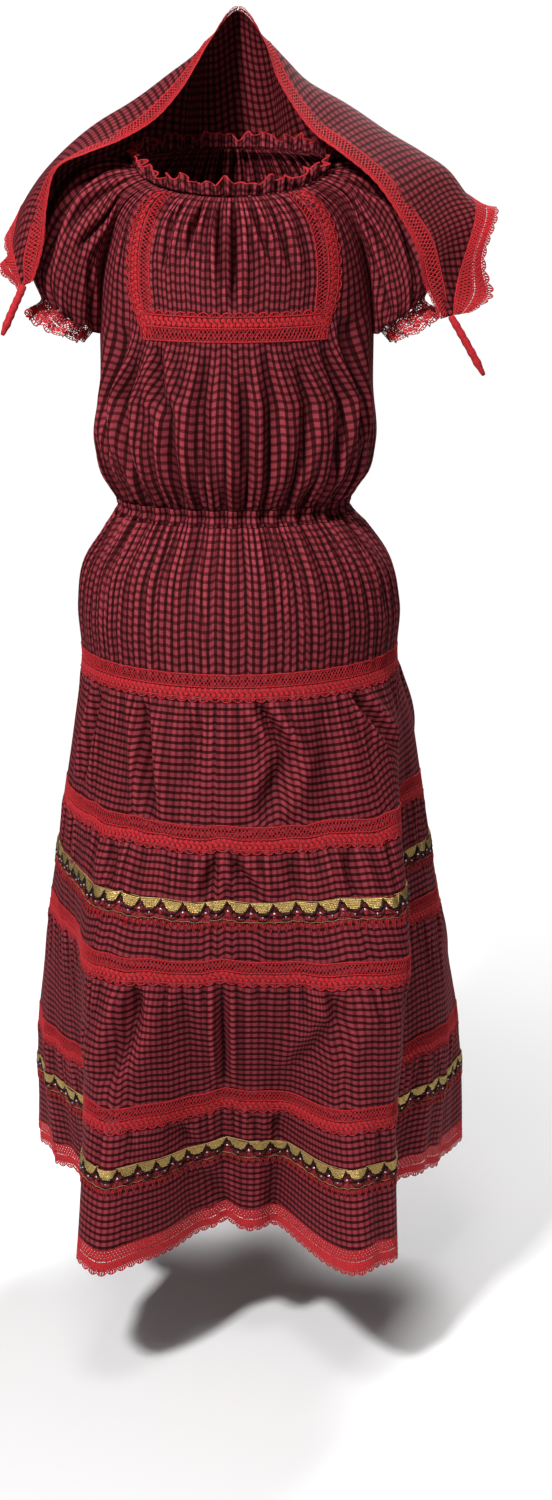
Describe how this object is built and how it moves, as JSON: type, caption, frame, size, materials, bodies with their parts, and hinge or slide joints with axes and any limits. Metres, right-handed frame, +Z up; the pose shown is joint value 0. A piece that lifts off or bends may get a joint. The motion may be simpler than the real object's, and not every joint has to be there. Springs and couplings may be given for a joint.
{
  "type": "tiered gingham dress with matching kerchief",
  "caption": "Long tiered peasant dress in checked cotton with gathered neck and waist, puffed sleeves, lace bands and beaded trim, hollow as worn, with a matching lace-edged kerchief.",
  "frame": {"origin": "middle of the neckline's opening, at the height where the wearer's shoulders carry the dress", "axes": "+Z up, the front of the dress faces -Y, the wearer's left is at +X"},
  "size_m": [0.5298, 0.5333, 1.3358],
  "materials": {
    "gingham": "red and black gingham cotton with a slight sheen",
    "lace": "bright red cotton lace, half diamond net and half oval medallions",
    "beading": "gold sequins over black and red beaded lace"
  },
  "bodies": {
    "root": {"bodice_front": "gingham", "bodice_back": "gingham", "bib_lace_right": "lace", "bib_lace_left": "lace", "bib_lace_bottom": "lace", "neck_ruffle": "gingham", "waist_casing": "gingham", "sleeve_right": "gingham", "cuff_lace_right": "lace", "sleeve_left": "gingham", "cuff_lace_left": "lace", "skirt_yoke_front": "gingham", "tier_2_front": "gingham", "tier_3_front": "gingham", "tier_4_front": "gingham", "tier_5_front": "gingham", "lace_band_1_front": "lace", "lace_band_2_front": "lace", "lace_band_3_front": "lace", "lace_band_4_front": "lace", "beaded_trim_1_front": "beading", "beaded_trim_2_front": "beading", "hem_lace_front": "lace", "skirt_yoke_back": "gingham", "tier_2_back": "gingham", "tier_3_back": "gingham", "tier_4_back": "gingham", "tier_5_back": "gingham", "lace_band_1_back": "lace", "lace_band_2_back": "lace", "lace_band_3_back": "lace", "lace_band_4_back": "lace", "beaded_trim_1_back": "beading", "beaded_trim_2_back": "beading", "hem_lace_back": "lace", "kerchief": "gingham", "kerchief_lace_left": "lace", "kerchief_edging_left": "lace", "kerchief_lace_right": "lace", "kerchief_edging_right": "lace", "kerchief_tail_right": "lace", "kerchief_tail_left": "lace"}
  },
  "joints": []
}
